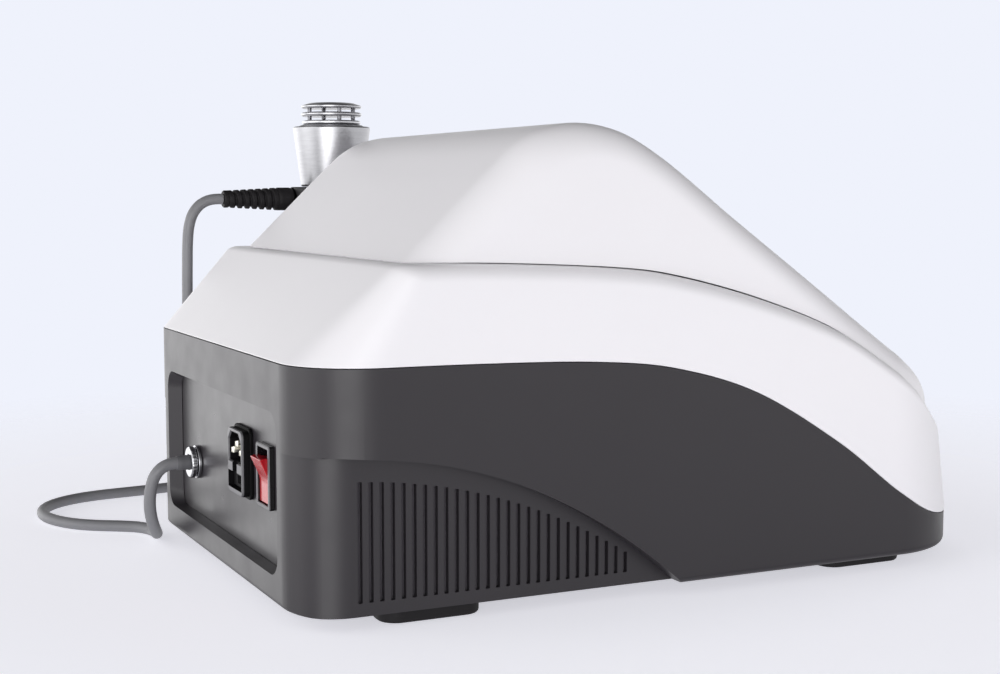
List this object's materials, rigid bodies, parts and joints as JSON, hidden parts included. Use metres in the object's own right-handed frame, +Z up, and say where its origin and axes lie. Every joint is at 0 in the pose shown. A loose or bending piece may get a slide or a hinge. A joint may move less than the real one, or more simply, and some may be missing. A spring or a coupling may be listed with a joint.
{
  "type": "ultrasound therapy device",
  "caption": "Desktop ultrasound therapy unit with a sloped hood and screen, vented grey base, rear sockets and a corded applicator parked in a side cup.",
  "frame": {"origin": "on the surface it stands on, under the middle of the unit's footprint with its side cup and without the free cable", "axes": "+Z up, +Y towards the rear panel, +X towards the applicator cup"},
  "size_m": [0.4193, 0.4716, 0.2695],
  "materials": {
    "housing_grey": "satin dark grey, fine moulded texture",
    "cover_white": "glossy white, slightly warm",
    "panel_grey": "satin dark grey paint",
    "screen_glass": "black back-printed glass",
    "black_plastic": "satin black",
    "rubber_black": "matt black",
    "switch_red": "glossy translucent red",
    "chrome": "polished",
    "steel": "zinc plated",
    "case_metal": "plain",
    "circuit_board": "green solder mask",
    "ferrite": "matt dark grey",
    "ceramic": "pale ceramic",
    "satin_aluminium": "fine turned, satin anodised",
    "cable_grey": "satin mid grey silicone sheath"
  },
  "bodies": {
    "housing": {"base_housing": "housing_grey", "applicator_holder": "housing_grey", "mid_cover": "cover_white", "top_cover": "cover_white", "rear_panel": "panel_grey", "touch_glass": "screen_glass", "display_module": "black_plastic", "fan_frame": "black_plastic", "inlet_body": "black_plastic", "switch_bezel": "black_plastic", "foot_rear_left": "rubber_black", "foot_rear_right": "rubber_black", "foot_front_right": "rubber_black", "foot_front_left": "rubber_black", "cable_plug": "rubber_black", "panel_socket": "chrome", "inlet_pin_earth": "chrome", "inlet_pin_line": "chrome", "inlet_pin_neutral": "chrome", "base_screw_1": "steel", "base_screw_2": "steel", "base_screw_3": "steel", "base_screw_4": "steel", "holder_screw_1": "steel", "holder_screw_2": "steel", "socket_nut": "steel", "power_supply": "case_metal", "heatsink": "case_metal", "main_board": "circuit_board", "driver_board": "circuit_board", "output_transformer": "ferrite", "cable_lower": "cable_grey", "cable_upper": "cable_grey", "cable_coil": "cable_grey"},
    "rocker": {"power_rocker": "switch_red"},
    "fuse_tray": {"fuse_drawer": "black_plastic", "fuse": "ceramic"},
    "fan": {"fan_rotor": "black_plastic"},
    "ring": {"coupling_ring": "chrome"},
    "applicator": {"treatment_face": "satin_aluminium", "piezo_disc": "ceramic", "grip_shell": "black_plastic", "strain_relief": "rubber_black", "head_cone": "satin_aluminium", "crown_base_ring": "satin_aluminium", "crown_middle_ring": "satin_aluminium", "crown_top_disc": "satin_aluminium", "crown_post_1": "satin_aluminium", "crown_post_2": "satin_aluminium", "crown_post_3": "satin_aluminium", "crown_post_4": "satin_aluminium"}
  },
  "joints": [
    {"name": "power_switch", "type": "hinge", "parent": "housing", "child": "rocker", "pos_m": [-0.10762, 0.19125, 0.067], "axis": [1, 0, 0], "range_deg": [0, 24]},
    {"name": "fuse_drawer_slide", "type": "slide", "parent": "housing", "child": "fuse_tray", "axis": [0, 1, 0], "range_m": [0, 0.022]},
    {"name": "fan_spin", "type": "hinge", "parent": "housing", "child": "fan", "pos_m": [-0.15662, 0.09475, 0.043], "axis": [1, 0, 0], "continuous": true},
    {"name": "coupling_ring_turn", "type": "hinge", "parent": "housing", "child": "ring", "pos_m": [0.02637, 0.20375, 0.0535], "axis": [0, 1, 0], "continuous": true},
    {"name": "applicator_lift", "type": "slide", "parent": "housing", "child": "applicator", "axis": [0, 0, 1], "range_m": [0, 0.07]}
  ]
}
